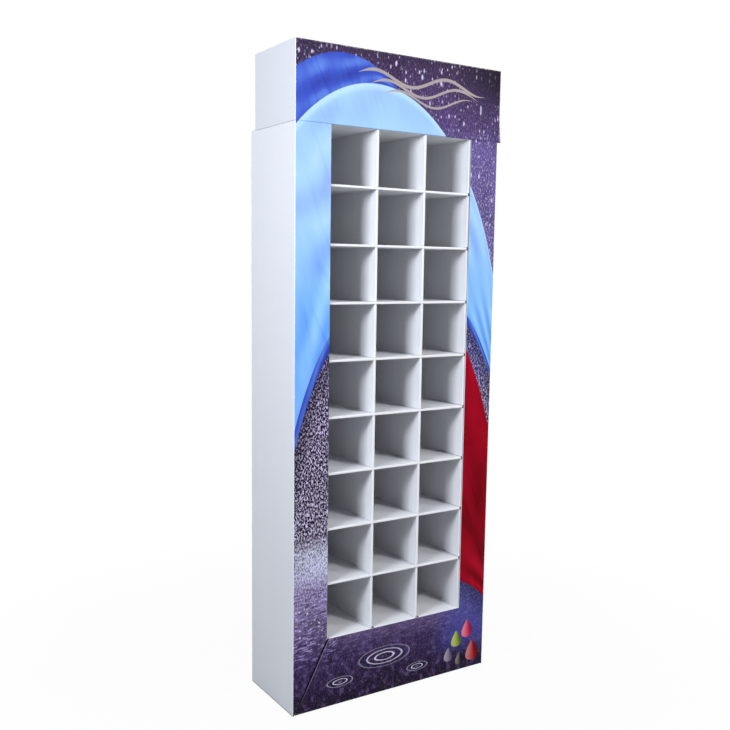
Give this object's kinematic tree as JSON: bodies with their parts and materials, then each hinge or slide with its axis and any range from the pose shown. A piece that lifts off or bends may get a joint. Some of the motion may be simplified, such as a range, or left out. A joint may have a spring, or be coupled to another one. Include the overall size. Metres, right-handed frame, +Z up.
{
  "type": "cardboard display stand",
  "caption": "Free-standing cardboard display stand: a folded outer case with an apron, a slotted grid of open cells set into its front and a folded box header on top.",
  "frame": {"origin": "on the ground, in the middle of the body's footprint", "axes": "+X to the right seen from the front, +Y from the open front to the back, +Z up"},
  "size_m": [0.6118, 0.232, 1.612],
  "materials": {
    "printed_board": "printed front, white liner on the other faces, matt",
    "white_board": "white liner, matt"
  },
  "bodies": {
    "root": {"body": "printed_board", "header": "printed_board", "upright_1": "white_board", "upright_2": "white_board", "upright_3": "white_board", "upright_4": "white_board", "shelf_1": "white_board", "shelf_2": "white_board", "shelf_3": "white_board", "shelf_4": "white_board", "shelf_5": "white_board", "shelf_6": "white_board", "shelf_7": "white_board", "shelf_8": "white_board"}
  },
  "joints": []
}
